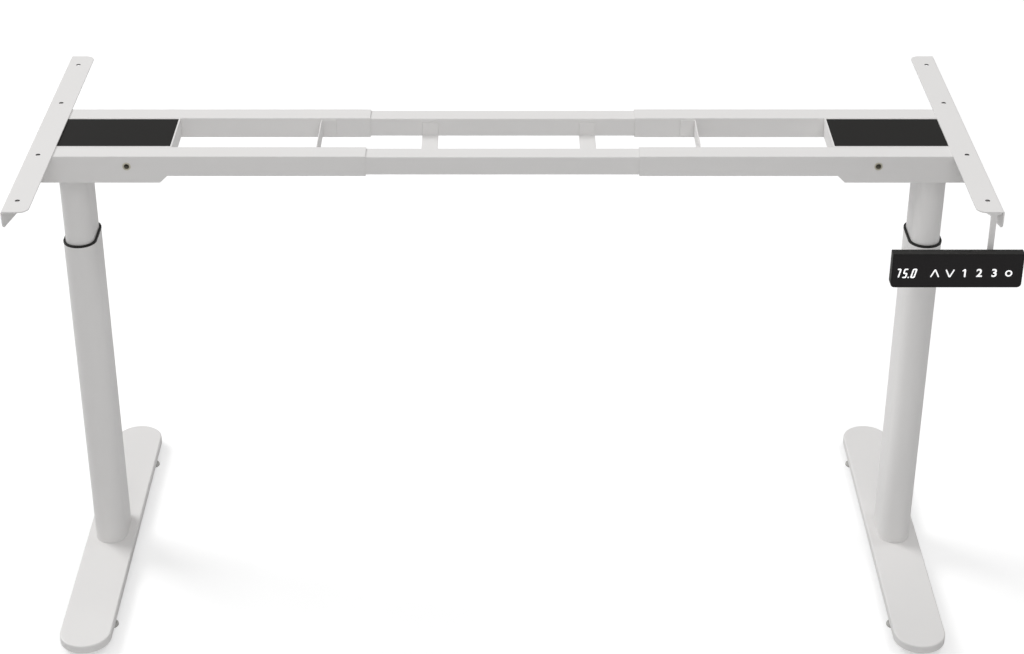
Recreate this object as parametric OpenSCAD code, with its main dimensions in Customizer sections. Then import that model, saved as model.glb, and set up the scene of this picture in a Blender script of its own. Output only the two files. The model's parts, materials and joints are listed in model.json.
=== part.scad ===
// Height-adjustable desk frame: two oval two-stage columns, each lifted by a geared motor
// and a spindle, on flat feet, joined by a crossbar that telescopes in width.
// Origin on the floor, at the middle of the whole length and depth. +X to the right, +Y to the
// rear, +Z up.

/* [Overall] */
// Height of the bracket tops above the floor, at the lift position shown
frame_h = 792; // [700:1:1100]
// Distance between the two column axes, at the width shown
column_pitch = 1373; // [1320:1:1600]
// Outer face of a side bracket beyond the column axis
side_overhang = 54.5; // [50:0.5:70]

/* [Crossbar] */
// Outer faces of the outer rails, across the frame
crossbar_w = 184; // [180:1:220]
// Width of an outer rail
rail_w = 36.5; // [30:0.5:40]
// Height of an outer rail
rail_h = 34; // [30:0.5:38]
// Wall of the rails
rail_wall = 1.5; // [1.2:0.1:2.5]
// Corner radius of the rails, outside
rail_corner_r = 1.6; // [1.2:0.1:2.5]
// Corner radius of the rails, inside
rail_inside_r = 0.5; // [0.3:0.1:1]
// Play between inner and outer rail, on each side
slide_gap = 0.3; // [0.2:0.05:0.6]
// Length of an outer rail
outer_rail_len = 525; // [480:1:560]
// Length of an inner rail
inner_rail_len = 1000; // [900:1:1040]
// Inner rails and straps sit this far to the right of the middle
crossbar_shift = 10; // [0:1:20]
// Distance between the middles of the two straps
strap_pitch = 254; // [220:1:280]
// Width of a strap
strap_w = 26; // [20:1:34]
// Thickness of straps and webs
strap_t = 2; // [1.5:0.1:3]
// Top of a strap's end tabs below the rail top
strap_drop = 8; // [5:0.5:14]
// Web from the column axis, left side
left_web_reach = 395; // [300:1:440]
// Web from the column axis, right side
right_web_reach = 376; // [300:1:440]
// Length of a web's end flanges
web_flange = 25; // [15:1:40]
// Step from a rail's top and bottom to a web's edges
web_inset = 2.5; // [2:0.5:6]
// Thread hole in the front rail from the column axis
insert_reach = 100; // [80:1:130]
// Diameter of the thread hole
insert_bore_d = 7; // [5:0.1:8]
// Outer diameter of the insert's body
insert_body_d = 9.4; // [9:0.1:11]
// Diameter of the insert's rim
insert_rim_d = 13; // [11.5:0.1:16]
// Thickness of the insert's rim
insert_rim_t = 0.8; // [0.5:0.1:1.5]
// Length of the insert's body behind the rail's face
insert_len = 14; // [10:0.5:18]

/* [Side bracket] */
// Length of a side bracket
bracket_len = 605; // [540:1:640]
// Width of its top plate
bracket_w = 40; // [36:1:50]
// Thickness of the sheet
bracket_t = 2; // [1.6:0.1:3]
// Its middle behind the column axis
bracket_shift = 11.5; // [0:0.5:20]
// Corner radius at the inner corners of the top plate
bracket_corner_r = 15; // [8:0.5:18]
// Depth of the side flange at its ends
flange_end_depth = 30; // [22:0.5:36]
// Length of the slope at each end of the flange
flange_taper = 92; // [50:1:120]
// Radius of the flange's lower tips
flange_tip_r = 13; // [3:0.5:16]
// Diameter of the desk top screw holes
desk_hole_d = 7.5; // [6:0.1:9]
// Hole line from the bracket's outer face
desk_hole_inset = 18; // [15:0.5:22]
// Distance between the two inner holes
inner_hole_pitch = 202; // [190:1:240]
// Distance between the two outer holes
outer_hole_pitch = 528; // [500:1:540]

/* [Motor box] */
// Depth of the box below the rail top
box_depth = 45; // [43:0.5:60]
// Inner end of the box from the column axis
box_reach = 166.5; // [164:0.5:190]
// Thickness of the box's sheet
box_wall = 2.5; // [2:0.1:4]
// Sloped corner at the box's inner lower edge
box_chamfer = 16; // [8:0.5:20]
// Thickness of the cover
cover_t = 2.5; // [2:0.1:4]
// Play round the cover
cover_gap = 0.4; // [0.3:0.1:1]
// Cover's top below the rail top
cover_drop = 0.5; // [0.2:0.1:1]
// Width of the ledges that carry the cover
ledge_w = 4; // [3:0.5:6]
// Thickness of the ledges
ledge_t = 2; // [1.5:0.1:3]
// Diameter of the frame screws' shanks
screw_d = 5.9; // [5:0.1:6.5]
// Play round a screw's shank, on each side
screw_gap = 0.1; // [0.05:0.05:0.3]
// Diameter of the frame screws' heads
screw_head_d = 10.5; // [9:0.1:12]
// Height of the frame screws' heads
screw_head_h = 3.3; // [2.5:0.1:4]
// Screws in the end wall, across
end_screw_pitch_y = 80; // [60:1:90]
// Screws in the end wall, in height
end_screw_pitch_z = 22; // [16:0.5:24]

/* [Column] */
// Upper tube, across its flat sides
upper_w = 46.5; // [44:0.1:47]
// Upper tube, along its long side
upper_l = 90; // [84:0.1:91]
// Wall of the upper tube
upper_wall = 2; // [1.5:0.1:2.5]
// Length of the upper tube
upper_len = 577; // [560:1:600]
// Lower tube, across its flat sides
lower_w = 53.5; // [53:0.1:58]
// Lower tube, along its long side
lower_l = 96.5; // [96:0.1:102]
// Wall of the lower tube
lower_wall = 1.5; // [1.2:0.1:2]
// Length of the lower tube
lower_len = 579.5; // [540:0.5:600]
// Thickness of the plug in the lower tube's foot end
base_plug_t = 8; // [6:0.5:12]
// Head plate, across
head_plate_w = 62; // [60:0.5:64]
// Head plate, along the desk's depth
head_plate_l = 104; // [102:0.5:105]
// Thickness of the head plate
head_plate_t = 4; // [3:0.1:5]
// Head plate screws, across
head_screw_pitch_x = 48; // [44:0.5:50]
// Head plate screws, along the desk's depth
head_screw_pitch_y = 90; // [88:0.5:92]
// Height of the collar's rim
collar_rim_h = 3.5; // [2:0.5:8]
// Rim stands proud of the lower tube by
collar_proud = 0.4; // [0:0.1:1]
// Length of the collar's sleeve inside the lower tube
collar_sleeve = 40; // [25:1:60]
// Play between collar and upper tube, on each side
guide_gap = 0.3; // [0.2:0.05:0.5]
// Play between collar and lower tube, on each side
seat_gap = 0.1; // [0.05:0.05:0.3]

/* [Lifting screw] */
// Diameter of the spindle
spindle_d = 14; // [12:0.5:16]
// Length of the spindle below the column head plate
spindle_len = 497; // [470:1:520]
// Running play on shafts, on each side
run_gap = 0.05; // [0.02:0.01:0.08]
// Outer diameter of the nut tube
nut_tube_d = 26; // [24:0.5:30]
// Wall of the nut tube
nut_tube_wall = 3; // [2:0.1:3.5]
// Length of the nut tube
nut_tube_len = 552; // [500:1:560]
// Diameter of the spindle nut
nut_d = 30; // [28:0.5:36]
// Height of the spindle nut
nut_h = 24; // [18:0.5:26]

/* [Foot] */
// Length of a foot
foot_len = 680; // [600:1:760]
// Width of a foot
foot_w = 84; // [80:0.5:100]
// Thickness of a foot at its rim
foot_h = 14; // [12:0.5:20]
// Underside of the rim above the floor
foot_clear = 13.5; // [13:0.5:18]
// Thickness of the foot's sheet
foot_sheet = 3; // [2:0.1:4]
// Rounding of the foot's upper edge
foot_edge_r = 2.5; // [1:0.1:2.9]
// Diameter of the foot screws' shanks
foot_screw_d = 7.9; // [6:0.1:8]
// Diameter of the foot screws' heads
foot_screw_head_d = 13; // [12:0.5:14]
// Height of the foot screws' heads
foot_screw_head_h = 5; // [4:0.1:6]
// Foot screws, across
foot_screw_pitch_x = 24; // [20:0.5:26]
// Foot screws, along the foot
foot_screw_pitch_y = 60; // [52:0.5:64]

/* [Levelling feet] */
// Levelling feet from the foot's ends
level_end_inset = 95; // [60:1:110]
// Distance between the levelling feet, across the foot
level_pitch_x = 66.5; // [66:0.5:70]
// Diameter of a pad
pad_d = 22; // [18:0.5:24]
// Height of a pad's disc
pad_h = 6; // [4:0.5:8]
// Diameter of a pad's hub
hub_d = 14; // [12:0.5:16]
// Diameter of the threaded stud
stud_d = 7.9; // [6:0.1:8]
// Diameter of the foot's threaded bosses
boss_d = 13; // [12:0.5:16]
// Play between hub and boss when the levelling foot is screwed home
home_gap = 0.3; // [0.2:0.05:0.6]

/* [Drive] */
// Module of the planetary gears
gear_module = 0.8; // [0.7:0.01:0.82]
// Thinning of each tooth, for free running
gear_play = 0.08; // [0.05:0.01:0.12]
// Length of the planet gears
planet_len = 10; // [8:0.5:12]
// Diameter of the planet pins
planet_pin_d = 3; // [2.5:0.1:4]
// Free space between parts that turn and their neighbours, along the shaft
end_play = 0.5; // [0.3:0.1:1]
// Thickness of the carrier's disc
carrier_t = 4; // [3:0.5:5]
// Diameter of the carrier's disc
carrier_d = 27; // [24:0.5:28]
// Diameter of the output shaft
output_d = 8; // [7:0.5:10]
// Diameter of the motor shaft
motor_shaft_d = 5; // [4:0.5:6]
// Depth of the motor shaft in the motor
motor_shaft_depth = 10; // [6:0.5:14]
// Diameter of motor and gear housing
motor_d = 37; // [36:0.5:38]
// Length of the motor
motor_len = 84; // [70:1:86]
// Diameter of the boss on the motor's back
motor_boss_d = 12; // [10:0.5:16]
// Height of the boss on the motor's back
motor_boss_h = 3; // [2:0.5:6]
// Gear housing from the column axis
gearbox_reach = 34; // [33:0.5:36]
// Length of the gear housing
gearbox_len = 28; // [26:0.5:30]
// Side of the gear housing's square flange
gearbox_flange = 38; // [37.5:0.1:38.5]
// Thickness of the gear housing's flange
gearbox_flange_t = 4; // [3:0.5:5]
// Pitch radius of the bevel gears
bevel_pitch_r = 11; // [10:0.1:11.5]
// Thinning of each bevel tooth
bevel_play = 0.25; // [0.15:0.01:0.4]
// Gap between the bevel wheel's hub and the head plate
bevel_hub_gap = 0.3; // [0.2:0.05:0.6]

/* [Handset] */
// Length of the handset
handset_len = 195.5; // [160:0.5:210]
// Height of the handset
handset_h = 56; // [46:0.5:60]
// Depth of the handset
handset_depth = 15; // [13:0.5:24]
// Top of the handset below the bracket's underside
handset_drop = 60; // [55:0.5:75]
// Handset beyond the bracket's outer face
handset_overhang = 34; // [10:1:40]
// Corner radius at the handset's bottom
handset_r = 6.5; // [3:0.5:8]
// Width of the case's rim round the panel
panel_rim = 1.4; // [1:0.1:3]
// Thickness of the front panel
panel_t = 2; // [1.5:0.1:3]
// Play round the front panel
panel_gap = 0.15; // [0.1:0.05:0.3]
// Thickness of the hanger's strip
hanger_t = 2; // [1.5:0.1:3]
// Width of the hanger
hanger_w = 9; // [8:0.5:30]
// Length of the hanger behind the handset
hanger_overlap = 36; // [30:1:44]
// Width of the hanger's tab
tab_w = 20; // [18:0.5:34]
// Length of the hanger's tab under the bracket
tab_len = 56; // [50:0.5:70]
// Play between the hanger's tab and the side flange
tab_gap = 3; // [1:0.5:4]
// Diameter of the handset screws' shanks
tab_screw_d = 3; // [2.5:0.1:3.5]
// Depth of the handset screws in the bracket and in the case
tab_screw_bite = 1.4; // [1:0.1:1.5]
// Diameter of the handset screws' heads
tab_screw_head_d = 6.4; // [5.5:0.1:7]
// Height of the handset screws' heads
tab_screw_head_h = 2; // [1.5:0.1:3]
// Handset screws, across the tab
tab_screw_pitch = 13; // [12:0.5:14]
// Handset screws from the tab's front end
tab_screw_inset = 15; // [12:0.5:18]
// Handset screws in the case, one above the other
case_screw_pitch = 20; // [16:0.5:22]

/* [Hidden] */
$fn = 48;
// How far a cut runs past the face it opens
over = 1;

// Side frame: x from the column axis towards the middle of the desk
column_x = column_pitch / 2;
rail_top = frame_h - bracket_t;
rail_bottom = rail_top - rail_h;
box_bottom = rail_top - box_depth;
box_floor_top = box_bottom + box_wall;
rail_outer_end = bracket_t - side_overhang;
rail_y = (crossbar_w - rail_w) / 2;
rail_inner_y = crossbar_w / 2 - rail_w;
inner_rail_step = rail_wall + slide_gap;
inner_rail_w = rail_w - 2 * inner_rail_step;
inner_rail_h = rail_h - 2 * inner_rail_step;
inner_rail_bottom = rail_bottom + inner_rail_step;
strap_half_y = rail_inner_y + inner_rail_step;
insert_z = (rail_top + rail_bottom) / 2;
cover_top = rail_top - cover_drop;
cover_bottom = cover_top - cover_t;
cover_x0 = rail_outer_end + box_wall + cover_gap;
cover_x1 = box_reach - box_wall - cover_gap;
cover_half_y = rail_inner_y - box_wall - cover_gap;

level_pitch_y = foot_len - 2 * level_end_inset;

// Column heights
foot_top = foot_clear + foot_h;
base_plug_top = foot_top + base_plug_t;
collar_z = foot_top + lower_len;
head_plate_top = box_floor_top + head_plate_t;
guide_w = upper_w + 2 * guide_gap;
guide_l = upper_l + 2 * guide_gap;
nut_z = base_plug_top + nut_tube_len;

// Planetary stage: tooth counts, tooth heights as shares of the module
sun_teeth = 12;
planet_teeth = 12;
ring_teeth = sun_teeth + 2 * planet_teeth;
planets = 3;
addendum_share = 0.9;
dedendum_share = 1.15;
ring_addendum_share = 0.6;
pressure_angle = 20;
flank_steps = 4;
planet_orbit_r = gear_module * (sun_teeth + planet_teeth) / 2;
ring_root_r = gear_module * (ring_teeth / 2 + dedendum_share);
drive_z = box_floor_top + gearbox_flange / 2;
carrier_x = gearbox_reach + gearbox_flange_t + end_play;
planet_x = carrier_x + carrier_t + end_play;
motor_x = gearbox_reach + gearbox_len;

// Bevel pair, one to one
bevel_teeth = 16;
bevel_module = 2 * bevel_pitch_r / bevel_teeth;
bevel_cone = bevel_pitch_r / sin(45);
bevel_inner_share = 0.6;
bevel_addendum = 0.8 * bevel_module;
bevel_dedendum = bevel_module;
bevel_tip_angle = 45 + atan(bevel_addendum / bevel_cone);
bevel_root_angle = 45 - atan(bevel_dedendum / bevel_cone);
bevel_back = 1.04 * bevel_cone * cos(bevel_root_angle);
bevel_front = 0.54 * bevel_cone * cos(bevel_root_angle);
spindle_bottom = box_floor_top - spindle_len;
bevel_hub_end = gearbox_reach / 2;
wheel_hub_end = drive_z - head_plate_top - bevel_hub_gap;

// Handset, hung under the front end of the right bracket
side_x = column_x + side_overhang;
bracket_front_y = bracket_shift - bracket_len / 2;
handset_x0 = side_x + handset_overhang - handset_len;
handset_top = rail_top - handset_drop;
tab_x = side_x - bracket_t - tab_gap - tab_w / 2;

// The handset reaches past the right side, so the frame's middle sits left of the origin
frame_shift = (handset_overhang - screw_head_h) / 2;

WHITE = [0.9, 0.9, 0.89];
BLACK = [0.1, 0.1, 0.1];
STEEL = [0.62, 0.63, 0.65];
DARK = [0.3, 0.31, 0.33];
BRASS = [0.72, 0.62, 0.36];

// Places a piece drawn from the frame's middle, or a side frame's piece on the left, or
// mirrored on the right
module middle() translate([-frame_shift, 0, 0]) children();
module left() middle() translate([-column_x, 0, 0]) children();
module right() middle() mirror([1, 0, 0]) translate([-column_x, 0, 0]) children();

// Shapes that repeat

// Rectangle round the origin with corners of radius r
module rounded_rect(w, h, r) {
    square([w - 2 * r, h], center = true);
    square([w, h - 2 * r], center = true);
    for (x = [-1, 1], y = [-1, 1])
        translate([x * (w / 2 - r), y * (h / 2 - r)]) circle(r);
}

// Flat oval round the origin: width w, length l along Y
module oval(w, l) {
    square([w, l - w], center = true);
    for (y = [-1, 1]) translate([0, y * (l - w) / 2]) circle(d = w);
}

// Half the section of a plate from z = 0 up, with its upper corner rounded by r
module rounded_section(half_w, h, r) {
    square([half_w, h - r]);
    square([half_w - r, h]);
    translate([half_w - r, h - r]) circle(r);
}

// Oval plate from z = 0 up, with its upper edge rounded by r
module rounded_oval_plate(w, l, h, r) {
    across_y(l - w) for (x = [0, 1]) mirror([x, 0]) rounded_section(w / 2, h, r);
    for (y = [0, 1]) rotate([0, 0, 180 * y]) translate([0, (l - w) / 2, 0])
        rotate_extrude(angle = 180) rounded_section(w / 2, h, r);
}

// Draws along X what is drawn in the plane of Y and Z
module along_x(len) rotate([90, 0, 90]) linear_extrude(len) children();

// Draws across Y, centred, what is drawn in the plane of X and Z
module across_y(len) rotate([90, 0, 0]) linear_extrude(len, center = true) children();

// Four places round the origin
module at_corners(pitch_x, pitch_y)
    for (x = [-1, 1], y = [-1, 1]) translate([x * pitch_x / 2, y * pitch_y / 2, 0]) children();

// Button-headed screw along Z, its head above z = 0 and its shank below
module screw(d, len, head_d, head_h) {
    translate([0, 0, -len]) cylinder(d = d, h = len);
    cylinder(d = head_d, h = head_h / 2);
    translate([0, 0, head_h / 2]) cylinder(d1 = head_d, d2 = d, h = head_h / 2);
}

// Gear outlines

function degrees(arc) = arc * 180 / PI;

// Polar angle of an involute at radius r
function involute(r, base_r) = degrees(sqrt(pow(r / base_r, 2) - 1)) - acos(base_r / r);

// Half the angle that a tooth takes at radius r
function half_tooth(r, teeth, play) =
    let (pitch_r = gear_module * teeth / 2, base_r = pitch_r * cos(pressure_angle))
    90 / teeth - degrees(play / (2 * pitch_r))
        + involute(pitch_r, base_r) - involute(max(r, base_r), base_r);

function flank_r(root_r, tip_r, step) = root_r + (tip_r - root_r) * step / flank_steps;

function at_angle(r, a) = [r * cos(a), r * sin(a)];

module gear_outline(teeth, root_r, tip_r, play)
    polygon([for (tooth = [0 : teeth - 1], side = [-1, 1], i = [0 : flank_steps])
        let (step = side < 0 ? i : flank_steps - i, r = flank_r(root_r, tip_r, step))
        at_angle(r, 360 * tooth / teeth + side * half_tooth(r, teeth, play))]);

// Gear with outer teeth
module spur_gear(teeth, len) {
    pitch_r = gear_module * teeth / 2;
    linear_extrude(len)
        gear_outline(teeth, pitch_r - dedendum_share * gear_module,
            pitch_r + addendum_share * gear_module, gear_play);
}

// A point on a bevel tooth, from the point where the two axes meet
function on_cone(dist, cone_angle, a) =
    dist * [sin(cone_angle) * cos(a), sin(cone_angle) * sin(a), cos(cone_angle)];

// Half the angle that a bevel tooth takes at a height over the pitch cone
function half_bevel(height, cone_angle) =
    let (half_t = PI * bevel_module / 4 - bevel_play / 2 - height * tan(pressure_angle))
    degrees(half_t / (bevel_cone * sin(cone_angle)));

// One bevel tooth, tapering to the point where the axes meet
module bevel_tooth() {
    tip_a = half_bevel(bevel_addendum, bevel_tip_angle);
    sunk_angle = bevel_root_angle - 1;
    root_a = half_bevel(-bevel_dedendum, bevel_root_angle);
    corners = [for (share = [bevel_inner_share, 1])
        each [on_cone(share * bevel_cone, sunk_angle, -root_a),
            on_cone(share * bevel_cone, sunk_angle, root_a),
            on_cone(share * bevel_cone, bevel_tip_angle, tip_a),
            on_cone(share * bevel_cone, bevel_tip_angle, -tip_a)]];
    polyhedron(corners, [[3, 2, 1, 0], [4, 5, 6, 7], [1, 5, 4, 0], [2, 6, 5, 1],
        [3, 7, 6, 2], [0, 4, 7, 3]]);
}

// Bevel gear with its axis on Z and its cone's point at the origin, a gap at angle 0
module bevel_gear(hub_end) {
    rotate_extrude() polygon([[0, bevel_front], [bevel_front * tan(bevel_root_angle), bevel_front],
        [bevel_back * tan(bevel_root_angle), bevel_back],
        [bevel_back * tan(bevel_root_angle), hub_end], [0, hub_end]]);
    for (i = [0 : bevel_teeth - 1])
        rotate([0, 0, 360 * (i + 0.5) / bevel_teeth]) bevel_tooth();
}

// Crossbar

module rail_tube(w, h, len) {
    along_x(len) difference() {
        rounded_rect(w, h, rail_corner_r);
        rounded_rect(w - 2 * rail_wall, h - 2 * rail_wall, rail_inside_r);
    }
}

module inner_rail(side) {
    color(WHITE) translate([crossbar_shift - inner_rail_len / 2, side * rail_y,
            inner_rail_bottom + inner_rail_h / 2])
        rail_tube(inner_rail_w, inner_rail_h, inner_rail_len);
}

module cross_strap() {
    inside = 2 * (strap_half_y - strap_t);
    tab_h = rail_top - strap_drop - inner_rail_bottom;
    translate([-strap_w / 2, 0, inner_rail_bottom]) along_x(strap_w) difference() {
        translate([-strap_half_y, 0]) square([2 * strap_half_y, tab_h]);
        translate([-inside / 2, strap_t]) square([inside, tab_h]);
    }
}

module cross_straps() {
    color(WHITE) for (side = [-1, 1])
        translate([crossbar_shift + side * strap_pitch / 2, 0, 0]) cross_strap();
}

module outer_rail(side) {
    difference() {
        translate([rail_outer_end, side * rail_y, (rail_top + rail_bottom) / 2])
            rail_tube(rail_w, rail_h, outer_rail_len);
        if (side < 0)
            translate([insert_reach, -crossbar_w / 2 - over, insert_z]) rotate([-90, 0, 0])
                cylinder(d = insert_body_d + 2 * screw_gap, h = rail_wall + 2 * over);
    }
}

module outer_front_rail() color(WHITE) outer_rail(-1);

module outer_rear_rail() color(WHITE) outer_rail(1);

module thread_insert() {
    color(BRASS) translate([insert_reach, -crossbar_w / 2, insert_z]) rotate([-90, 0, 0])
        difference() {
            union() {
                translate([0, 0, -insert_rim_t]) cylinder(d = insert_rim_d, h = insert_rim_t);
                cylinder(d = insert_body_d, h = insert_len);
            }
            translate([0, 0, -insert_rim_t - over])
                cylinder(d = insert_bore_d, h = insert_len + insert_rim_t + 2 * over);
        }
}

module cross_web(reach) {
    inside = rail_inner_y - strap_t;
    color(WHITE) translate([reach - strap_t, 0, rail_bottom + web_inset])
        linear_extrude(rail_h - 2 * web_inset) difference() {
            translate([0, -rail_inner_y]) square([web_flange, 2 * rail_inner_y]);
            translate([strap_t, -inside]) square([web_flange, 2 * inside]);
        }
}

// Side bracket

// Half of the bracket's length lies on each side of its own middle
module bracket_plate() {
    half = bracket_len / 2;
    r = bracket_corner_r;
    linear_extrude(bracket_t) difference() {
        union() {
            translate([0, -half]) square([bracket_w - bracket_t - r, bracket_len]);
            translate([0, -half + r]) square([bracket_w - bracket_t, bracket_len - 2 * r]);
            for (y = [-1, 1]) translate([bracket_w - bracket_t - r, y * (half - r)]) circle(r);
        }
        for (pitch = [inner_hole_pitch, outer_hole_pitch], y = [-1, 1])
            translate([desk_hole_inset - bracket_t, y * pitch / 2]) circle(d = desk_hole_d);
    }
}

// Outline of the side flange, seen from the side, with z = 0 at the plate's underside
module flange_outline() {
    half = bracket_len / 2;
    end_z = bracket_t - flange_end_depth;
    polygon([[-half, 0], [-half, end_z + flange_tip_r], [-half + flange_tip_r, end_z],
        [-half + flange_taper, -box_depth], [half - flange_taper, -box_depth],
        [half - flange_tip_r, end_z], [half, end_z + flange_tip_r], [half, 0]]);
    for (y = [-1, 1]) translate([y * (half - flange_tip_r), end_z + flange_tip_r])
        circle(flange_tip_r);
}

module bracket_sheet() {
    translate([0, bracket_shift, 0]) {
        translate([rail_outer_end, 0, rail_top]) bracket_plate();
        translate([rail_outer_end - bracket_t, 0, rail_top]) along_x(bracket_t) flange_outline();
        intersection() {
            translate([rail_outer_end, 0, rail_top]) rotate([90, 0, 0])
                cylinder(r = bracket_t, h = bracket_len, center = true);
            translate([rail_outer_end - bracket_t, -bracket_len / 2, rail_top])
                cube([bracket_t, bracket_len, bracket_t]);
        }
    }
}

module at_end_screws()
    translate([rail_outer_end - bracket_t, 0, (box_bottom + rail_top) / 2]) rotate([0, -90, 0])
        at_corners(end_screw_pitch_z, end_screw_pitch_y) children();

module bracket() {
    color(WHITE) difference() {
        bracket_sheet();
        at_end_screws() translate([0, 0, -bracket_t - over])
            cylinder(d = screw_d + 2 * screw_gap, h = bracket_t + 2 * over);
    }
}

// The right bracket also takes two of the handset's screws from below
module right_side_bracket() {
    color(WHITE) difference() {
        right() bracket();
        middle() at_tab_screws() cylinder(d = tab_screw_d, h = tab_screw_bite);
    }
}

module side_screws() {
    color(STEEL) {
        at_end_screws() screw(screw_d, bracket_t + box_wall, screw_head_d, screw_head_h);
        translate([0, 0, head_plate_top]) at_corners(head_screw_pitch_x, head_screw_pitch_y)
            screw(screw_d, head_plate_t + box_wall / 2, screw_head_d, screw_head_h);
    }
}

// Motor box

// Side view of the box, its sheet drawn in by t
module box_outline(t) {
    corner = box_chamfer + t * (sqrt(2) - 1);
    polygon([[rail_outer_end + t, rail_top + over], [rail_outer_end + t, box_bottom + t],
        [box_reach - corner, box_bottom + t], [box_reach - t, box_bottom + corner],
        [box_reach - t, rail_top + over]]);
}

// Same outline cut off at a height
module box_outline_below(t, z) {
    intersection() {
        box_outline(t);
        translate([rail_outer_end, box_bottom])
            square([box_reach - rail_outer_end, z - box_bottom]);
    }
}

module box_shell() {
    channel_w = crossbar_w / 2 - rail_inner_y - 2 * box_wall;
    difference() {
        union() {
            across_y(2 * rail_inner_y) box_outline_below(0, rail_top);
            across_y(crossbar_w) box_outline_below(0, rail_bottom);
        }
        across_y(2 * (rail_inner_y - box_wall)) box_outline(box_wall);
        for (side = [-1, 1]) translate([0, side * (rail_inner_y + crossbar_w / 2) / 2, 0])
            across_y(channel_w) box_outline_below(box_wall, rail_bottom + over);
    }
}

module cover_ledges() {
    for (side = [-1, 1])
        translate([cover_x0, side * (rail_inner_y - box_wall - ledge_w / 2) - ledge_w / 2,
                cover_bottom - ledge_t])
            cube([cover_x1 - cover_x0, ledge_w, ledge_t]);
}

module motor_box() {
    color(WHITE) difference() {
        union() {
            box_shell();
            cover_ledges();
        }
        translate([0, 0, box_bottom - over])
            linear_extrude(box_wall + 2 * over) oval(upper_w + 2 * slide_gap, upper_l + 2 * slide_gap);
        at_end_screws() translate([0, 0, -bracket_t - box_wall - over])
            cylinder(d = screw_d + 2 * screw_gap, h = box_wall + 2 * over);
        translate([0, 0, box_bottom + box_wall / 2])
            at_corners(head_screw_pitch_x, head_screw_pitch_y)
            cylinder(d = screw_d + 2 * screw_gap, h = box_wall + over);
    }
}

module motor_cover() {
    color(BLACK) translate([cover_x0, -cover_half_y, cover_bottom])
        cube([cover_x1 - cover_x0, 2 * cover_half_y, cover_t]);
}

// Gear motor, along X at the height of the drive

module on_drive_axis(x) translate([x, 0, drive_z]) rotate([0, 90, 0]) children();

module motor() {
    color(DARK) on_drive_axis(motor_x) difference() {
        union() {
            cylinder(d = motor_d, h = motor_len);
            translate([0, 0, motor_len]) cylinder(d = motor_boss_d, h = motor_boss_h);
        }
        translate([0, 0, -over])
            cylinder(d = motor_shaft_d + 2 * run_gap, h = motor_shaft_depth + end_play + over);
    }
}

module gear_housing() {
    teeth_x = planet_x - end_play / 2 - gearbox_reach;
    color(DARK) on_drive_axis(gearbox_reach) difference() {
        union() {
            cylinder(d = motor_d, h = gearbox_len);
            translate([-gearbox_flange / 2, -gearbox_flange / 2, 0])
                cube([gearbox_flange, gearbox_flange, gearbox_flange_t]);
        }
        translate([0, 0, -over]) cylinder(d = output_d + 2 * run_gap, h = gearbox_len);
        translate([0, 0, gearbox_flange_t]) cylinder(r = ring_root_r + gear_play, h = teeth_x
            - gearbox_flange_t);
        translate([0, 0, teeth_x]) rotate([0, 0, 180 / ring_teeth])
            linear_extrude(gearbox_len) gear_outline(ring_teeth,
                gear_module * (ring_teeth / 2 - ring_addendum_share), ring_root_r, -gear_play);
    }
}

module sun_gear() {
    color(STEEL) on_drive_axis(planet_x) {
        spur_gear(sun_teeth, planet_len + end_play);
        cylinder(d = motor_shaft_d, h = motor_x - planet_x + motor_shaft_depth);
    }
}

module carrier() {
    color(STEEL) {
        on_drive_axis(carrier_x) {
            cylinder(d = carrier_d, h = carrier_t);
            for (i = [0 : planets - 1]) rotate([0, 0, 360 * i / planets])
                translate([planet_orbit_r, 0, over])
                cylinder(d = planet_pin_d, h = carrier_t + end_play + planet_len - over);
        }
        on_drive_axis(bevel_hub_end - over)
            cylinder(d = output_d, h = carrier_x - bevel_hub_end + 2 * over);
        on_drive_axis(0) rotate([0, 0, 180 / bevel_teeth]) bevel_gear(bevel_hub_end);
    }
}

module planet(place) {
    color(WHITE) on_drive_axis(planet_x) rotate([0, 0, 360 * place / planets])
        translate([planet_orbit_r, 0, 0]) difference() {
            rotate([0, 0, 180 / planet_teeth]) spur_gear(planet_teeth, planet_len);
            translate([0, 0, -over])
                cylinder(d = planet_pin_d + 2 * run_gap, h = planet_len + 2 * over);
        }
}

// Column

module tube(w, l, wall, len) {
    linear_extrude(len) difference() {
        oval(w, l);
        oval(w - 2 * wall, l - 2 * wall);
    }
}

module upper_tube() {
    color(WHITE) difference() {
        union() {
            translate([0, 0, box_floor_top - upper_len])
                tube(upper_w, upper_l, upper_wall, upper_len);
            translate([-head_plate_w / 2, -head_plate_l / 2, box_floor_top])
                cube([head_plate_w, head_plate_l, head_plate_t]);
        }
        translate([0, 0, box_floor_top - over])
            cylinder(d = spindle_d + 2 * run_gap, h = head_plate_t + 2 * over);
        translate([0, 0, box_floor_top - over])
            at_corners(head_screw_pitch_x, head_screw_pitch_y)
            cylinder(d = screw_d + 2 * screw_gap, h = head_plate_t + 2 * over);
    }
}

module spindle() {
    color(STEEL) {
        translate([0, 0, spindle_bottom])
            cylinder(d = spindle_d, h = head_plate_top + bevel_hub_gap + over - spindle_bottom);
        translate([0, 0, drive_z]) mirror([0, 0, 1]) bevel_gear(wheel_hub_end);
    }
}

module at_foot_screws() at_corners(foot_screw_pitch_x, foot_screw_pitch_y) children();

module lower_tube() {
    color(WHITE) difference() {
        translate([0, 0, foot_top]) {
            tube(lower_w, lower_l, lower_wall, lower_len);
            linear_extrude(base_plug_t) oval(lower_w, lower_l);
        }
        translate([0, 0, foot_top - over]) at_foot_screws()
            cylinder(d = foot_screw_d + 2 * screw_gap, h = base_plug_t + 2 * over);
    }
}

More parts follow.
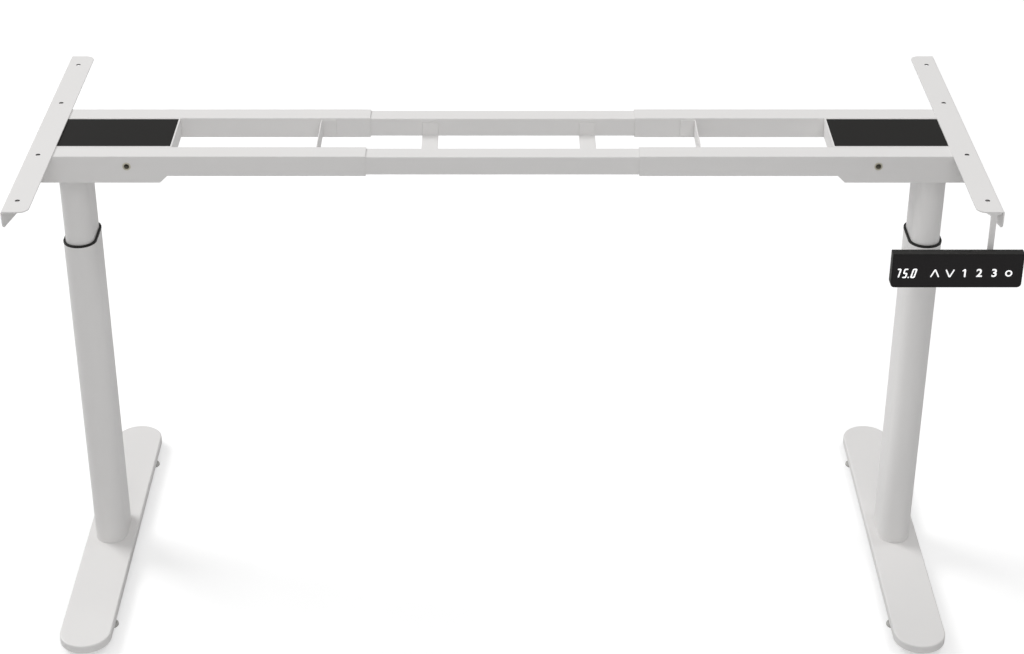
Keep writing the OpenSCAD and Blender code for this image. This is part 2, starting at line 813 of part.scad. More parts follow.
module collar() {
    sleeve_w = lower_w - 2 * lower_wall - 2 * seat_gap;
    sleeve_l = lower_l - 2 * lower_wall - 2 * seat_gap;
    color(BLACK) difference() {
        union() {
            translate([0, 0, collar_z]) linear_extrude(collar_rim_h)
                oval(lower_w + 2 * collar_proud, lower_l + 2 * collar_proud);
            translate([0, 0, collar_z - collar_sleeve]) linear_extrude(collar_sleeve)
                oval(sleeve_w, sleeve_l);
        }
        translate([0, 0, collar_z - collar_sleeve - over])
            linear_extrude(collar_sleeve + collar_rim_h + 2 * over) oval(guide_w, guide_l);
    }
}

module nut_tube() {
    color(STEEL) translate([0, 0, base_plug_top]) difference() {
        cylinder(d = nut_tube_d, h = nut_tube_len);
        translate([0, 0, -over])
            cylinder(d = nut_tube_d - 2 * nut_tube_wall, h = nut_tube_len + 2 * over);
    }
}

module spindle_nut() {
    color(BRASS) translate([0, 0, nut_z]) difference() {
        cylinder(d = nut_d, h = nut_h);
        translate([0, 0, -over]) cylinder(d = spindle_d + 2 * run_gap, h = nut_h + 2 * over);
    }
}

// Foot

module at_levellers() at_corners(level_pitch_x, level_pitch_y) children();

module foot() {
    inner_h = foot_h - foot_sheet;
    color(WHITE) difference() {
        translate([0, 0, foot_clear])
            rounded_oval_plate(foot_w, foot_len, foot_h, foot_edge_r);
        translate([0, 0, foot_clear - over]) difference() {
            linear_extrude(inner_h + over)
                oval(foot_w - 2 * foot_sheet, foot_len - 2 * foot_sheet);
            at_levellers() cylinder(d = boss_d, h = inner_h + over);
        }
        translate([0, 0, foot_clear - over]) at_levellers()
            cylinder(d = stud_d + 2 * run_gap, h = inner_h + over);
        translate([0, 0, foot_clear]) at_foot_screws()
            cylinder(d = foot_screw_d + 2 * screw_gap, h = foot_h + over);
    }
}

module foot_screws() {
    color(STEEL) translate([0, 0, foot_top - foot_sheet]) at_foot_screws() mirror([0, 0, 1])
        screw(foot_screw_d, foot_sheet + base_plug_t - end_play,
            foot_screw_head_d, foot_screw_head_h);
}

// Levelling foot, screwed home
module leveller(x, y) {
    hub_top = foot_clear - home_gap;
    color(WHITE) translate([x * level_pitch_x / 2, y * level_pitch_y / 2, 0]) {
        cylinder(d = pad_d, h = pad_h);
        cylinder(d = hub_d, h = hub_top);
        cylinder(d = stud_d, h = foot_top - foot_sheet - home_gap);
    }
}

// Handset, at the right

// Front of the handset, drawn in by t, with round corners at the bottom
module handset_face(t, depth) {
    r = handset_r - t;
    rotate([90, 0, 0]) linear_extrude(depth) {
        translate([t, t + r]) square([handset_len - 2 * t, handset_h - 2 * t - r]);
        translate([t + r, t]) square([handset_len - 2 * (t + r), r]);
        for (x = [t + r, handset_len - t - r]) translate([x, t + r]) circle(r);
    }
}

module at_handset_front()
    translate([handset_x0, bracket_front_y - handset_depth + panel_t, handset_top - handset_h])
        children();

// Under the bracket, pointing up
module at_tab_screws()
    for (side = [-1, 1])
        translate([tab_x + side * tab_screw_pitch / 2, bracket_front_y + tab_screw_inset,
                rail_top]) children();

// On the back of the case, pointing forward
module at_case_screws()
    for (side = [-1, 1])
        translate([tab_x, bracket_front_y,
                handset_top - hanger_overlap / 2 + side * case_screw_pitch / 2])
            rotate([90, 0, 0]) children();

module handset_case() {
    color(BLACK) difference() {
        translate([handset_x0, bracket_front_y, handset_top - handset_h])
            handset_face(0, handset_depth);
        at_handset_front() handset_face(panel_rim, panel_t + over);
        at_case_screws() cylinder(d = tab_screw_d, h = tab_screw_bite);
    }
}

module handset_panel()
    color([0.05, 0.05, 0.05]) at_handset_front() handset_face(panel_rim + panel_gap, panel_t);

module handset_hanger() {
    color(WHITE) difference() {
        union() {
            translate([tab_x - tab_w / 2, bracket_front_y, rail_top - hanger_t])
                cube([tab_w, tab_len, hanger_t]);
            translate([tab_x - hanger_w / 2, bracket_front_y, handset_top - hanger_overlap])
                cube([hanger_w, hanger_t, handset_drop + hanger_overlap]);
        }
        translate([side_x - desk_hole_inset, bracket_shift - outer_hole_pitch / 2,
                rail_top - hanger_t - over])
            cylinder(d = desk_hole_d + 2 * slide_gap, h = hanger_t + 2 * over);
        at_tab_screws() handset_screw_hole();
        at_case_screws() handset_screw_hole();
    }
}

module handset_screw_hole()
    translate([0, 0, -hanger_t - over])
        cylinder(d = tab_screw_d + 2 * screw_gap, h = hanger_t + 2 * over);

module handset_screw()
    translate([0, 0, -hanger_t]) mirror([0, 0, 1])
        screw(tab_screw_d, hanger_t + tab_screw_bite, tab_screw_head_d, tab_screw_head_h);

// Screws of the right side frame, and the four that hold the handset
module right_side_screws() {
    right() side_screws();
    color(STEEL) middle() {
        at_tab_screws() handset_screw();
        at_case_screws() handset_screw();
    }
}

middle() inner_rail(-1);  // inner_front_rail
middle() inner_rail(1);  // inner_rear_rail
middle() cross_straps();

left() outer_front_rail();  // left_outer_front_rail
left() outer_rear_rail();  // left_outer_rear_rail
left() bracket();  // left_bracket
left() side_screws();  // left_screws
left() motor_box();  // left_motor_box
left() motor_cover();  // left_motor_cover
left() cross_web(left_web_reach);  // left_cross_web
left() thread_insert();  // left_thread_insert
left() motor();  // left_motor
left() gear_housing();  // left_gear_housing
left() sun_gear();  // left_sun_gear
left() carrier();  // left_carrier
left() planet(0);  // left_planet_1
left() planet(1);  // left_planet_2
left() planet(2);  // left_planet_3
left() upper_tube();  // left_upper_tube
left() spindle();  // left_spindle
left() lower_tube();  // left_lower_tube
left() collar();  // left_collar
left() nut_tube();  // left_nut_tube
left() spindle_nut();  // left_spindle_nut
left() foot();  // left_foot
left() foot_screws();  // left_foot_screws
left() leveller(-1, -1);  // left_leveller_1
left() leveller(1, -1);  // left_leveller_2
left() leveller(-1, 1);  // left_leveller_3
left() leveller(1, 1);  // left_leveller_4

right() outer_front_rail();  // right_outer_front_rail
right() outer_rear_rail();  // right_outer_rear_rail
right_side_bracket();  // right_bracket
right_side_screws();  // right_screws
right() motor_box();  // right_motor_box
right() motor_cover();  // right_motor_cover
right() cross_web(right_web_reach);  // right_cross_web
right() thread_insert();  // right_thread_insert
right() motor();  // right_motor
right() gear_housing();  // right_gear_housing
right() sun_gear();  // right_sun_gear
right() carrier();  // right_carrier
right() planet(0);  // right_planet_1
right() planet(1);  // right_planet_2
right() planet(2);  // right_planet_3
right() upper_tube();  // right_upper_tube
right() spindle();  // right_spindle
right() lower_tube();  // right_lower_tube
right() collar();  // right_collar
right() nut_tube();  // right_nut_tube
right() spindle_nut();  // right_spindle_nut
right() foot();  // right_foot
right() foot_screws();  // right_foot_screws
right() leveller(-1, -1);  // right_leveller_1
right() leveller(1, -1);  // right_leveller_2
right() leveller(-1, 1);  // right_leveller_3
right() leveller(1, 1);  // right_leveller_4

middle() handset_case();
middle() handset_panel();
middle() handset_hanger();
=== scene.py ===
import json
import logging
import math
from dataclasses import dataclass
from enum import Enum
from typing import Iterable, Sequence

import bmesh
import bpy
from mathutils import Matrix, Vector

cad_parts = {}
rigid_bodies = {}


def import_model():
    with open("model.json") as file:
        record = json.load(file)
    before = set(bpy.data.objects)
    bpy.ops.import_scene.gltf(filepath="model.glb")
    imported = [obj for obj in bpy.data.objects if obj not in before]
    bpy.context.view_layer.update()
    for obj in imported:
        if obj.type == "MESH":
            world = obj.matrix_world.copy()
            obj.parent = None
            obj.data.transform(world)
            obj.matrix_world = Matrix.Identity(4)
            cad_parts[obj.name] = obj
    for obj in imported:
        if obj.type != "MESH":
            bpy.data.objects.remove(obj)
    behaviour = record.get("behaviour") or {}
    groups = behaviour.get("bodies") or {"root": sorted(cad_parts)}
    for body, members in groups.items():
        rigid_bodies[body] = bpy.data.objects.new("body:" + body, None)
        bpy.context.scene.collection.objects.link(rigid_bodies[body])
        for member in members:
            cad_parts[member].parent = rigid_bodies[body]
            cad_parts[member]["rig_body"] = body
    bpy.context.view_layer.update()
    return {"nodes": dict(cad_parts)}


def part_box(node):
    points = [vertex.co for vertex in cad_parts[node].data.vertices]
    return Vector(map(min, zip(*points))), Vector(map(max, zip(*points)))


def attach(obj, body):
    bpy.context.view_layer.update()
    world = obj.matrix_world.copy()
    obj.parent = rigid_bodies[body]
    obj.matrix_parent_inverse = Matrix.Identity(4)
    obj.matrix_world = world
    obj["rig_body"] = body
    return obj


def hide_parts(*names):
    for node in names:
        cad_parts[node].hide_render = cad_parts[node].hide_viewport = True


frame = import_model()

log = logging.getLogger("desk_frame")

Triple = tuple[float, float, float]
Profile = Sequence[tuple[float, float]]

MERGE = 2e-6            # points closer than this are one point
ON_PLANE = 1e-7         # points closer to a cut than this lie on it
PROUD = 0.00002         # how far a thin piece of finish stands out of its face
FLAT_ANGLE = 0.8        # faces that turn by less than this, in degrees, are one flat face
SHARP_ANGLE = 30.0      # edges that turn by more than this, in degrees, are rounded
FULL_TURN = math.tau
MIDDLE_X = -0.01535     # the frame's own middle, where the handset's overhang puts it
COLUMN_X = 0.6865       # column axis from the frame's middle
ALONG_X = Matrix(((0, 0, 1, 0), (1, 0, 0, 0), (0, 1, 0, 0), (0, 0, 0, 1)))  # Z laid along X


# Finishes


class Slot(Enum):
    """Material slots of the part's record."""

    WHITE_PAINT = "white_paint"
    BLACK_PLASTIC = "black_plastic"
    STEEL = "steel"
    MOTOR_PAINT = "motor_paint"
    BRASS = "brass"
    NYLON = "nylon"
    GLOSSY_BLACK = "glossy_black"
    ZINC_STEEL = "zinc_steel"


@dataclass(frozen=True)
class Grain:
    """Fine relief of a surface: cells per metre, depth in metres and stretch along each axis."""

    cells: float
    depth: float
    stretch: Triple = (1.0, 1.0, 1.0)
    detail: float = 2.0


@dataclass(frozen=True)
class Finish:
    """A surface finish, made a material the first time it is asked for."""

    name: str
    slot: Slot
    colour: Triple
    roughness: float
    grain: Grain
    metallic: float = 0.0
    specular: float = 0.5
    tint: float = 0.02
    drift_cells: float = 9.0
    drift_detail: float = 3.0
    rough_drift: float = 0.04
    smoothest: float = 0.02
    glow: float = 0.0

    def material(self) -> bpy.types.Material:
        """Gives the material of this finish.

        Returns:
            The material, with its colour drift, roughness drift and relief.
        """
        made = bpy.data.materials.get(self.name)
        if made is not None:
            return made
        made = bpy.data.materials.new(self.name)
        made.use_nodes = True
        made.diffuse_color = (*self.colour, 1.0)
        shader = made.node_tree.nodes["Principled BSDF"]
        for socket, value in (
            ("Metallic", self.metallic),
            ("Specular IOR Level", self.specular),
            ("Emission Strength", self.glow),
        ):
            shader.inputs[socket].default_value = value
        shader.inputs["Emission Color"].default_value = (*self.colour, 1.0)
        place = made.node_tree.nodes.new("ShaderNodeTexCoord").outputs["Object"]
        self._drift(made.node_tree, place, shader)
        self._relief(made.node_tree, place, shader)
        return made

    def _drift(
        self, tree: bpy.types.NodeTree, place: bpy.types.NodeSocket, shader: bpy.types.Node
    ) -> None:
        """Lets colour and roughness wander slowly over the surface.

        Args:
            tree: Node tree of the material.
            place: Socket that gives the place on the piece.
            shader: Surface shader of the material.
        """
        cloud = tree.nodes.new("ShaderNodeTexNoise")
        cloud.inputs["Scale"].default_value = self.drift_cells
        cloud.inputs["Detail"].default_value = self.drift_detail
        tree.links.new(place, cloud.inputs["Vector"])
        colour = tree.nodes.new("ShaderNodeMix")
        colour.data_type = "RGBA"
        low = tuple(c * (1.0 - self.tint) for c in self.colour)
        high = tuple(min(c * (1.0 + self.tint), 1.0) for c in self.colour)
        colour.inputs["A"].default_value = (*low, 1.0)
        colour.inputs["B"].default_value = (*high, 1.0)
        tree.links.new(cloud.outputs["Fac"], colour.inputs["Factor"])
        tree.links.new(colour.outputs["Result"], shader.inputs["Base Color"])
        rough = tree.nodes.new("ShaderNodeMapRange")
        low_rough = max(self.roughness - self.rough_drift, self.smoothest)
        rough.inputs["To Min"].default_value = low_rough
        rough.inputs["To Max"].default_value = self.roughness + self.rough_drift
        tree.links.new(cloud.outputs["Fac"], rough.inputs["Value"])
        tree.links.new(rough.outputs["Result"], shader.inputs["Roughness"])

    def _relief(
        self, tree: bpy.types.NodeTree, place: bpy.types.NodeSocket, shader: bpy.types.Node
    ) -> None:
        """Gives the surface its fine relief.

        Args:
            tree: Node tree of the material.
            place: Socket that gives the place on the piece.
            shader: Surface shader of the material.
        """
        turn = tree.nodes.new("ShaderNodeMapping")
        turn.inputs["Scale"].default_value = self.grain.stretch
        tree.links.new(place, turn.inputs["Vector"])
        cells = tree.nodes.new("ShaderNodeTexNoise")
        cells.inputs["Scale"].default_value = self.grain.cells
        cells.inputs["Detail"].default_value = self.grain.detail
        tree.links.new(turn.outputs["Vector"], cells.inputs["Vector"])
        bump = tree.nodes.new("ShaderNodeBump")
        bump.inputs["Strength"].default_value = 1.0
        bump.inputs["Distance"].default_value = self.grain.depth
        tree.links.new(cells.outputs["Fac"], bump.inputs["Height"])
        tree.links.new(bump.outputs["Normal"], shader.inputs["Normal"])


POWDER_COAT = Finish(
    "powder_coat_white", Slot.WHITE_PAINT, (0.79, 0.779, 0.770), 0.42,
    Grain(650.0, 0.000012), specular=0.4, tint=0.008, rough_drift=0.05)
MOULDED_BLACK = Finish(
    "moulded_black", Slot.BLACK_PLASTIC, (0.0105, 0.0098, 0.0088), 0.5,
    Grain(1600.0, 0.00004), specular=0.3, tint=0.08)
COVER_BLACK = Finish(
    "cover_black", Slot.BLACK_PLASTIC, (0.0105, 0.0098, 0.0088), 0.5,
    Grain(1600.0, 0.00004), specular=0.15, tint=0.08)
# Thin dark ring in the desk top holes: painted shade on the hole walls and rims.
HOLE_SHADE_PAINT = Finish(
    "raw_cut_edge", Slot.STEEL, (0.07, 0.068, 0.067), 0.6,
    Grain(2400.0, 0.00001, stretch=(1.0, 1.0, 0.1)), metallic=0.3, specular=0.2, tint=0.2,
    drift_cells=300.0)
# Darkened copy of the insert's brass: painted shade in the insert's bore.
PAINTED_SHADE_THREAD = Finish(
    "dull_brass_thread", Slot.BRASS, (0.2, 0.19, 0.15), 0.55,
    Grain(900.0, 0.00001), metallic=0.4, specular=0.2, tint=0.1, drift_cells=200.0)
GLOSS_PANEL = Finish(
    "gloss_panel_black", Slot.GLOSSY_BLACK, (0.0115, 0.01, 0.0103), 0.16,
    Grain(60.0, 0.000004), specular=0.25, tint=0.05, rough_drift=0.02)
MOTOR_PAINT = Finish(
    "motor_can_dark", Slot.MOTOR_PAINT, (0.085, 0.088, 0.095), 0.38,
    Grain(1200.0, 0.00001), metallic=0.55, tint=0.06)
TURNED_STEEL = Finish(
    "turned_steel", Slot.STEEL, (0.58, 0.585, 0.6), 0.27,
    Grain(300.0, 0.000008, stretch=(8.0, 8.0, 8.0)), metallic=1.0, tint=0.04)
ZINC = Finish(
    "zinc_plate", Slot.ZINC_STEEL, (0.62, 0.63, 0.64), 0.34,
    Grain(420.0, 0.00001), metallic=1.0, tint=0.07, drift_cells=120.0, rough_drift=0.08)
TURNED_BRASS = Finish(
    "turned_brass", Slot.BRASS, (0.78, 0.66, 0.38), 0.3,
    Grain(500.0, 0.000008), metallic=1.0, tint=0.05)
PALE_BRASS = Finish(
    "pale_brass", Slot.BRASS, (0.66, 0.63, 0.52), 0.42,
    Grain(700.0, 0.00001), metallic=0.7, tint=0.06, drift_cells=200.0)
NYLON = Finish(
    "moulded_nylon", Slot.NYLON, (0.5, 0.495, 0.475), 0.5,
    Grain(900.0, 0.00001), specular=0.4, tint=0.03, drift_cells=60.0)
LIT_WHITE = Finish(
    "lit_white", Slot.GLOSSY_BLACK, (0.9, 0.9, 0.9), 0.5,
    Grain(1500.0, 0.00001), tint=0.02, glow=0.55)


# Shapes


class Sketch:
    """A piece in the making: one mesh and the operators that shape it."""

    def __init__(self) -> None:
        """Starts with an empty mesh."""
        self.bm = bmesh.new()
        self.solid_copy = False

    @classmethod
    def of_node(cls, node: str) -> "Sketch":
        """Copies a solid of the CAD model, with its triangles merged into faces.

        Args:
            node: Name of the CAD node.

        Returns:
            The sketch that holds the copy.
        """
        sketch = cls()
        sketch.solid_copy = True
        bm = sketch.bm
        bm.from_mesh(frame["nodes"][node].data)
        bmesh.ops.remove_doubles(bm, verts=bm.verts[:], dist=MERGE)
        bmesh.ops.dissolve_limit(
            bm, angle_limit=math.radians(FLAT_ANGLE), verts=bm.verts[:], edges=bm.edges[:])
        return sketch

    def lathe(self, profile: Profile, steps: int) -> None:
        """Turns a profile round the Z axis.

        Args:
            profile: Points as (radius, height).
            steps: Number of steps in the full turn.
        """
        before = set(self.bm.verts)
        verts = [self.bm.verts.new((r, 0.0, z)) for r, z in profile]
        edges = [self.bm.edges.new(pair) for pair in zip(verts, verts[1:])]
        bmesh.ops.spin(
            self.bm, geom=verts + edges, cent=(0, 0, 0), axis=(0, 0, 1), angle=FULL_TURN,
            steps=steps, use_merge=True)
        poles = [v for v in self.bm.verts if v not in before and v.co.xy.length < MERGE]
        bmesh.ops.remove_doubles(self.bm, verts=poles, dist=MERGE)

    def helix(self, profile: Profile, pitch: float, turns: int, steps: int = 20) -> None:
        """Winds one pitch of a thread's profile up the Z axis.

        Args:
            profile: Points as (radius, height); the last lies one pitch over the first.
            pitch: Rise in one turn.
            turns: Number of turns.
            steps: Steps in one turn.
        """
        before = set(self.bm.verts)
        verts = [self.bm.verts.new((r, 0.0, z)) for r, z in profile]
        edges = [self.bm.edges.new(pair) for pair in zip(verts, verts[1:])]
        bmesh.ops.spin(
            self.bm, geom=verts + edges, cent=(0, 0, 0), axis=(0, 0, 1),
            dvec=(0, 0, pitch / steps), angle=FULL_TURN * turns, steps=steps * turns,
            use_merge=False)
        made = [v for v in self.bm.verts if v not in before]
        bmesh.ops.remove_doubles(self.bm, verts=made, dist=MERGE * 5)

    def cut(self, place: Triple, normal: Triple, fill: bool = True) -> None:
        """Cuts away what lies beyond a plane.

        Args:
            place: A point of the plane.
            normal: Direction of the side that goes.
            fill: Whether the cut is closed.
        """
        made = bmesh.ops.bisect_plane(
            self.bm, geom=self.bm.verts[:] + self.bm.edges[:] + self.bm.faces[:], dist=ON_PLANE,
            plane_co=place, plane_no=normal, clear_outer=True)
        if fill:
            rim = [e for e in made["geom_cut"] if isinstance(e, bmesh.types.BMEdge)]
            bmesh.ops.edgeloop_fill(self.bm, edges=rim)

    def slab(self, outline: Profile, height: float) -> list[bmesh.types.BMVert]:
        """Raises a flat outline into a slab that starts at z = 0.

        Args:
            outline: Corners in the plane of X and Y.
            height: Height of the slab.

        Returns:
            The new points of the mesh.
        """
        before = set(self.bm.verts)
        face = self.bm.faces.new([self.bm.verts.new((x, y, 0.0)) for x, y in outline])
        raised = bmesh.ops.extrude_face_region(self.bm, geom=[face])
        top = [v for v in raised["geom"] if isinstance(v, bmesh.types.BMVert)]
        bmesh.ops.translate(self.bm, vec=(0, 0, height), verts=top)
        return [v for v in self.bm.verts if v not in before]

    def move(self, matrix: Matrix, verts: Iterable[bmesh.types.BMVert] | None = None) -> "Sketch":
        """Moves points of the mesh, or all of them.

        Args:
            matrix: The move.
            verts: Points that move; all when left out.

        Returns:
            This sketch.
        """
        chosen = self.bm.verts[:] if verts is None else list(verts)
        bmesh.ops.transform(self.bm, matrix=matrix, verts=chosen)
        return self

    def ease(self, radius: float, segments: int) -> "Sketch":
        """Rounds the sharp edges.

        Args:
            radius: Width of the rounding on each face.
            segments: Steps across a rounded edge.

        Returns:
            This sketch.
        """
        sharp = [
            e for e in self.bm.edges
            if e.is_manifold and e.calc_face_angle(0.0) > math.radians(SHARP_ANGLE)]
        bmesh.ops.bevel(
            self.bm, geom=sharp, offset=radius, offset_type="OFFSET", segments=segments,
            profile=0.5, affect="EDGES", clamp_overlap=True, material=-1)
        return self

    def add(self, other: "Sketch", places: Iterable[Matrix]) -> "Sketch":
        """Adds copies of another sketch.

        Args:
            other: The sketch to repeat; it stays as it is.
            places: One matrix for each copy.

        Returns:
            This sketch.
        """
        for matrix in places:
            copy = bpy.data.meshes.new("copy")
            other.bm.to_mesh(copy)
            copy.transform(matrix)
            if matrix.determinant() < 0:
                copy.flip_normals()
            self.bm.from_mesh(copy)
            bpy.data.meshes.remove(copy)
        return self

    def piece(
        self, name: str, finish: Finish, body: str, smooth: float = 40.0
    ) -> bpy.types.Object:
        """Makes the sketch an object that rides on a body.

        Args:
            name: Name of the piece.
            finish: Its finish.
            body: Body that it moves with.
            smooth: Edges that turn by more than this stay sharp in shading, in degrees.

        Returns:
            The finished object.
        """
        bm = self.bm
        if not self.solid_copy:
            bmesh.ops.remove_doubles(bm, verts=bm.verts[:], dist=MERGE / 4)
            bmesh.ops.recalc_face_normals(bm, faces=bm.faces[:])
        mesh = bpy.data.meshes.new(name)
        bm.to_mesh(mesh)
        bm.free()
        stale = mesh.attributes.get("custom_normal")
        if stale is not None:
            mesh.attributes.remove(stale)
        mesh.shade_smooth()
        mesh.set_sharp_from_angle(angle=math.radians(smooth))
        mesh.materials.clear()
        mesh.materials.append(finish.material())
        obj = bpy.data.objects.new(name, mesh)
        bpy.context.scene.collection.objects.link(obj)
        even = obj.modifiers.new("even_normals", "WEIGHTED_NORMAL")
        even.keep_sharp = True
        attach(obj, body)
        log.info("piece %s, %s, on %s", name, finish.name, body)
        return obj


def turned(axis: str, angle: float) -> Matrix:
    """Gives the turn round one axis by an angle in degrees."""
    return Matrix.Rotation(math.radians(angle), 4, axis)


def at(x: float, y: float, z: float) -> Matrix:
    """Gives the move to a place."""
    return Matrix.Translation((x, y, z))


def body_of(node: str) -> str:
    """Gives the name of the body that a CAD node belongs to."""
    return frame["nodes"][node]["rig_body"]


def dress(node: str, finish: Finish) -> None:
    """Gives a CAD node a finish, with its shape left as it is.

    Args:
        node: Name of the CAD node.
        finish: The finish.
    """
    for slot in frame["nodes"][node].material_slots:
        slot.material = finish.material()
    log.info("node %s, %s", node, finish.name)


def eased_part(node: str, finish: Finish, radius: float, segments: int = 2) -> None:
    """Stands for a CAD node with its own shape, its sharp edges rounded.

    Args:
        node: Name of the CAD node.
        finish: The finish.
        radius: Rounding of the edges.
        segments: Steps across a rounded edge.
    """
    part = Sketch.of_node(node).ease(radius, segments)
    piece = part.piece(f"{node}_eased", finish, body_of(node))
    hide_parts(node)


# Small parts that repeat


@dataclass(frozen=True)
class SocketScrew:
    """Button-headed screw with a six-sided socket, pointing down the Z axis."""

    shank_d: float
    length: float
    head_d: float
    head_h: float
    socket_share: float = 0.48
    socket_floor: float = 0.35
    rim_share: float = 0.25
    dome_steps: int = 6
    edge: float = 0.0002

    def sketch(self) -> Sketch:
        """Shapes the screw with its head's underside at z = 0.

        Returns:
            The sketch.
        """
        made = Sketch()
        r, h, shank = self.head_d / 2, self.head_h, self.shank_d / 2
        flat, rim = 0.5 * r + 0.2 * shank, self.rim_share * h
        turns = (math.radians(90 * n / self.dome_steps) for n in range(self.dome_steps + 1))
        dome = [(flat + (r - flat) * math.cos(a), rim + (h - rim) * math.sin(a)) for a in turns]
        point = [(0.0, -self.length), (shank * 0.8, -self.length)]
        under = [(shank, -0.2 * h), (shank * 1.04, 0.0), (r - self.edge, 0.0), (r, self.edge)]
        made.lathe(point + under + dome, 24)
        self._socket(made, flat, h)
        return made

    def _socket(self, made: Sketch, flat: float, top: float) -> None:
        """Sinks the six-sided socket into the head's open top.

        Args:
            made: Sketch of the screw.
            flat: Radius of the head's open top; not used.
            top: Height of the head's top.
        """
        bm = made.bm
        half = self.head_d * self.socket_share / 2
        rim = [e for e in bm.edges if e.is_boundary and abs(e.verts[0].co.z - top) < MERGE]
        for depth in (top, top, self.socket_floor * top):
            ring = bmesh.ops.extrude_edge_only(bm, edges=rim)["geom"]
            rim = [e for e in ring if isinstance(e, bmesh.types.BMEdge)]
            for vert in (v for v in ring if isinstance(v, bmesh.types.BMVert)):
                a = math.atan2(vert.co.y, vert.co.x)
                across = half / math.cos((a + math.pi / 6) % (math.pi / 3) - math.pi / 6)
                vert.co = (across * math.cos(a), across * math.sin(a), depth)
        bmesh.ops.edgeloop_fill(bm, edges=rim)


@dataclass(frozen=True)
class ThreadedInsert:
    """Threaded insert of a rail, with the face of its rim at z = 0 and its body up the Z axis."""

    bore_r: float = 0.0035
    body_r: float = 0.0047
    rim_r: float = 0.0065
    rim_h: float = 0.0008
    length: float = 0.0148
    edge: float = 0.0002
    lead_in: float = 0.0009
    thread_depth: float = 0.0006
    pitch: float = 0.001

    def sleeve(self) -> Sketch:
        """Shapes the sleeve and its rim.

        Returns:
            The sketch.
        """
        root, mouth = self.bore_r + self.thread_depth, self.bore_r + self.lead_in
        rim, body, long, edge = self.rim_r, self.body_r, self.length, self.edge
        made = Sketch()
        made.lathe([
            (root, self.lead_in), (mouth, 0.0), (rim - edge, 0.0), (rim, edge),
            (rim, self.rim_h), (body, self.rim_h), (body, long - 2 * edge),
            (body - edge, long), (mouth, long), (root, long - edge)], 40)
        return made

    def thread(self) -> Sketch:
        """Shapes the thread in the sleeve's bore, a strip with no wall.

        Returns:
            The sketch.
        """
        root, crest, pitch = self.bore_r + self.thread_depth, self.bore_r, self.pitch
        ridge = [(root, 0.0), (crest, 0.4 * pitch), (crest, 0.6 * pitch), (root, pitch)]
        made = Sketch()
        made.helix(ridge, pitch, math.ceil(self.length / pitch) + 2)
        made.cut((0, 0, self.lead_in), (0, 0, -1), fill=False)
        made.cut((0, 0, self.length - self.edge), (0, 0, 1), fill=False)
        return made


# Sub-assemblies


class Hand(Enum):
    """The two ends of the frame, with the direction in which each one's outer side looks."""

    LEFT = -1
    RIGHT = 1

    @property
    def word(self) -> str:
        """The word that starts the names at this end."""
        return self.name.lower()

    def node(self, name: str) -> str:
        """Gives the full name of a node or body at this end."""
        return f"{self.word}_{name}"

    def place(self, axis_x: float) -> Matrix:
        """Gives the place of a column axis, with X towards the middle of the frame."""
        return at(axis_x, 0, 0) @ Matrix.Diagonal((-self.value, 1, 1, 1))


@dataclass
class Crossbar:
    """Inner rails and straps that join the two side frames."""

    edge_r: float = 0.0005
    fold_r: float = 0.0009

    def build(self) -> None:
        """Builds the rails and straps."""
        for node in ("inner_front_rail", "inner_rear_rail"):
            eased_part(node, POWDER_COAT, self.edge_r)
        eased_part("cross_straps", POWDER_COAT, self.fold_r, 3)


